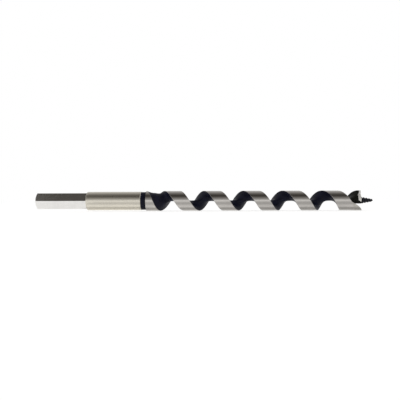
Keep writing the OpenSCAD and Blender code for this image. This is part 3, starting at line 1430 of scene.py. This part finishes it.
@dataclass(kw_only=True)
class LeadScrew(SweptPiece):
    """The tapered screw that draws the bit into the wood, with its thread."""

    name: str = "screw"
    node: Node = Node.LEAD_SCREW
    slot: Slot = Slot.BLACK_COAT
    crease: float = 60.0
    base_d: float = 4.6
    tip_d: float = 1.8
    point_l: float = 0.9
    lead: float = 1.9  # way along the axis for each turn of the thread
    thread: float = 0.42  # depth of the thread
    fade: float = 0.7  # length over which the thread starts
    full_share: float = 0.7  # share of the base radius from which the thread is full
    crest_power: float = 1.5  # power that narrows the crests
    proud: float = 0.5  # share of the depth that stands outside the core
    rings: int = 220
    around: int = 60

    TREE: ClassVar[str] = "Lead screw"
    CAP_ROWS: ClassVar[int] = 1

    def sizes(self) -> dict[str, float]:
        """The tree's own inputs.

        Returns:
            Name and value of each.
        """
        return {
            "Start": AT.screw, "Tip": AT.tip, "Base Radius": self.base_d / 2, "Tip Radius": self.tip_d / 2,
            "Point": self.point_l, "Lead": self.lead, "Thread": self.thread, "Fade": self.fade,
            "Full Share": self.full_share, "Crest Power": self.crest_power, "Proud": self.proud,
        }

    def bend(self, graph: Graph, row: Field, turn: Field) -> tuple[Field, Field, Field]:
        """Winds the thread about the tapered core.

        Args:
            graph: the tree.
            row: number of the point's row, with a cap at the start.
            turn: share of a turn.

        Returns:
            The place's x, y and z in millimetres.
        """
        get = graph.input
        x = graph.fit(row, 1.0, get("Rings"), Ease.STRAIGHT, get("Start"), get("Tip"))
        point_x = get("Tip") - get("Point")
        taper = graph.fit(x, get("Start"), point_x, Ease.STRAIGHT, get("Base Radius"), get("Tip Radius"))
        nose = get("Tip Radius") * (get("Tip") - x) / get("Point")
        core = graph.math("MINIMUM", taper, nose)
        wave = graph.math("ABSOLUTE", graph.math("FRACT", x / get("Lead") - turn) * 2 - 1)
        deep = get("Thread") * graph.fit(x - get("Start"), 0.0, get("Fade"))
        deep = deep * graph.fit(core / get("Base Radius"), 0.0, get("Full Share"), Ease.STRAIGHT)
        radius = (core + deep * (wave ** get("Crest Power") + get("Proud") - 1)) * (row > 0.5)
        angle = turn * 2 * math.pi
        return x, radius * graph.cos(angle), radius * graph.sin(angle)


# Studio

@dataclass(frozen=True)
class Softbox:
    """A rectangular lamp that faces a target."""

    name: str
    place: Place
    size: tuple[float, float]
    power: float

    def build(self, target: Place) -> None:
        """Makes the lamp.

        Args:
            target: the point that it faces.
        """
        data = bpy.data.lights.new(self.name, "AREA")
        data.shape = "RECTANGLE"
        data.size, data.size_y = (side * MM for side in self.size)
        data.energy = self.power
        lamp = linked(self.name, data)
        lamp.location = [part * MM for part in self.place]
        x, y, z = (t - p for t, p in zip(target, self.place))
        lamp.rotation_euler = (math.atan2(math.hypot(x, y), -z), 0.0, math.atan2(-x, y))


@dataclass
class Studio:
    """A pale floor, soft light all round with a dark ceiling in front, and the photograph's camera."""

    floor_reach: float = 6000.0
    floor_gap: float = 0.02
    floor_pale: float = 0.66  # what the floor throws back
    floor_lift: float = 0.65  # light that the camera and the bit's reflections see in it besides
    floor_fade: tuple[float, float] = (350.0, 1300.0)  # distances between which it turns white
    camera_x: float = 113.87
    camera_y: float = -250.0
    camera_z: float = 0.533
    camera_near: float = 10.0
    frame_width: float = 280.3
    roll: float = 0.003
    sensor: float = 36.0
    # Angle from the horizon in front, over the top, and the light there
    sky: Pairs = (
        (-180.0, 1.0), (0.0, 0.76), (8.0, 0.72), (14.0, 0.63), (26.0, 0.40), (38.0, 0.24), (50.0, 0.108),
        (63.0, 0.07), (77.0, 0.15), (93.0, 0.29), (112.0, 0.50), (136.0, 0.70), (160.0, 0.90), (180.0, 1.0))
    dusk: Colour = (1.0, 0.91, 0.80)  # tint of the sky where it is dim
    dusk_power: int = 3
    # Distance aside from the axis, and the floor's light there in reflections
    sheen: Pairs = (
        (0.0, 1.1), (2.2, 1.0), (3.4, 0.66), (4.9, 0.66), (5.8, 1.1), (6.6, 1.30), (8.4, 1.25),
        (10.7, 0.92), (14.6, 0.62), (24.0, 0.66), (47.0, 1.0))
    sheen_from: tuple[float, float] = (31.0, 37.0)  # stations between which the sheen sets in
    dim_from: tuple[float, float] = (95.0, 175.0)  # stations between which it changes
    dim_to: tuple[float, float] = (1.02, 0.88)  # its level before and after them
    middle: Place = (114.0, 0.0, 0.0)
    softboxes: tuple[Softbox, ...] = (
        Softbox("shank_side_softbox", (-1190.0, 0.0, 900.0), (2000.0, 1200.0), 5.3),
        Softbox("head_side_softbox", (1410.0, 0.0, 900.0), (2000.0, 1200.0), 5.3),
        Softbox("front_fill", (114.0, -1200.0, 50.0), (2400.0, 250.0), 0.9),
    )

    def build(self) -> None:
        """Makes the floor, the world, the lamps and the camera."""
        self.make_floor()
        self.make_world()
        for softbox in self.softboxes:
            softbox.build(self.middle)
        self.make_camera()
        bpy.context.scene.view_settings.view_transform = "Standard"
        LOG.info("studio: floor, world, %d lamps and camera", len(self.softboxes))

    def make_floor(self) -> None:
        """A wide plain floor just under the bit."""
        low = CAD_LOW.z - self.floor_gap * MM
        reach = self.floor_reach * MM
        mesh = bpy.data.meshes.new("floor")
        corners = [(-reach, -reach, low), (reach, -reach, low), (reach, reach, low), (-reach, reach, low)]
        mesh.from_pydata(corners, [], [(0, 1, 2, 3)])
        mesh.materials.append(self.floor_material())
        linked("floor", mesh)

    def floor_material(self) -> bpy.types.Material:
        """A floor that looks white, keeps the bit's shadow and fades into the world's white far away.

        In the bit's reflections it is brighter and darker in stripes along the bit, as a sheen.

        Returns:
            The material.
        """
        material = bpy.data.materials.new("pale_floor")
        material.use_nodes = True
        material.node_tree.nodes.clear()
        graph = Graph(material.node_tree)
        path = graph.node("ShaderNodeLightPath")
        glossy = path.outputs["Is Glossy Ray"]
        seen = graph.math("MAXIMUM", path.outputs["Is Camera Ray"], glossy)
        x, y, _ = graph.split(graph.out(graph.node("ShaderNodeTexCoord"), "Object"))
        x = x / MM
        y = y / MM
        far = graph.fit(graph.distance(x - self.camera_x, y), *self.floor_fade)
        pale = (1 - far) * self.floor_pale
        matt = graph.node("ShaderNodeBsdfDiffuse", {"Color": graph.join(pale, pale, pale)})
        last = self.sheen[-1][0]
        ramp = graph.node("ShaderNodeValToRGB", {0: graph.math("ABSOLUTE", y) / last})
        self.set_stops(ramp, [(aside / last, (level, level, level)) for aside, level in self.sheen])
        dim = graph.fit(x, *self.dim_from, Ease.SMOOTH, *self.dim_to)
        sheen = 1 + (graph.out(ramp) * dim - 1) * graph.fit(x, *self.sheen_from) * glossy
        strength = seen * blend(self.floor_lift, 1.0, far) * sheen
        lift = graph.node("ShaderNodeEmission", {"Color": (1.0, 1.0, 1.0, 1.0), "Strength": strength})
        both = graph.node("ShaderNodeAddShader", {0: matt.outputs[0], 1: lift.outputs[0]})
        graph.node("ShaderNodeOutputMaterial", {"Surface": both.outputs[0]})
        return material

    def make_world(self) -> None:
        """White to the camera and at the horizon, and a dim ceiling above and in front."""
        world = bpy.data.worlds.new("studio")
        bpy.context.scene.world = world
        world.use_nodes = True
        world.node_tree.nodes.clear()
        graph = Graph(world.node_tree)
        _, y, z = graph.split(graph.out(graph.node("ShaderNodeTexCoord"), "Generated"))
        angle = graph.math("ARCTAN2", z, -y)
        ramp = graph.node("ShaderNodeValToRGB", {0: angle / (2 * math.pi) + 0.5})
        self.set_stops(ramp, [(degrees / 360 + 0.5, self.sky_colour(level)) for degrees, level in self.sky])
        path = graph.node("ShaderNodeLightPath")
        colour = graph.mix(path.outputs["Is Camera Ray"], ramp.outputs[0], (1.0, 1.0, 1.0, 1.0))
        light = graph.node("ShaderNodeBackground", {"Color": colour, "Strength": 1.0})
        graph.node("ShaderNodeOutputWorld", {"Surface": light.outputs[0]})

    def sky_colour(self, level: float) -> Colour:
        """The light of a part of the world, warmer where it is dim."""
        return tuple(level * (1 - (1 - level) ** self.dusk_power * (1 - c)) for c in self.dusk)

    @staticmethod
    def set_stops(ramp: bpy.types.Node, stops: Sequence[tuple[float, Colour]]) -> None:
        """Sets a Color Ramp's stops.

        Args:
            ramp: the node.
            stops: place and colour of each stop, in order.
        """
        elements = ramp.color_ramp.elements
        while len(elements) < len(stops):
            elements.new(0.5)
        for element, (place, colour) in zip(elements, stops):
            element.position = place
            element.color = paint(colour)

    def make_camera(self) -> None:
        """The photograph's camera: level, square to the bit and close to it."""
        data = bpy.data.cameras.new("camera")
        data.sensor_width = self.sensor
        data.lens = self.sensor * -self.camera_y / self.frame_width
        data.clip_start = self.camera_near * MM
        camera = linked("camera", data)
        camera.location = (self.camera_x * MM, self.camera_y * MM, self.camera_z * MM)
        camera.rotation_euler = (math.pi / 2, self.roll, 0.0)
        bpy.context.scene.camera = camera


def main() -> None:
    """Builds the studio and the pieces in order."""
    logging.basicConfig(level=logging.INFO, format="%(name)s: %(message)s")
    Studio().build()
    finishes = Finishes()
    pieces = (
        HexShank(finish=finishes.shank),
        RoundStem(finish=finishes.stem),
        ReliefNeck(finish=finishes.neck),
        Twist(finish=finishes.twist),
        CuttingHead(finish=finishes.head),
        ScoringSpur(finish=finishes.spur),
        LeadScrew(finish=finishes.screw),
    )
    for piece in pieces:
        piece.dress(piece.build())


if __name__ == "__main__":
    main()
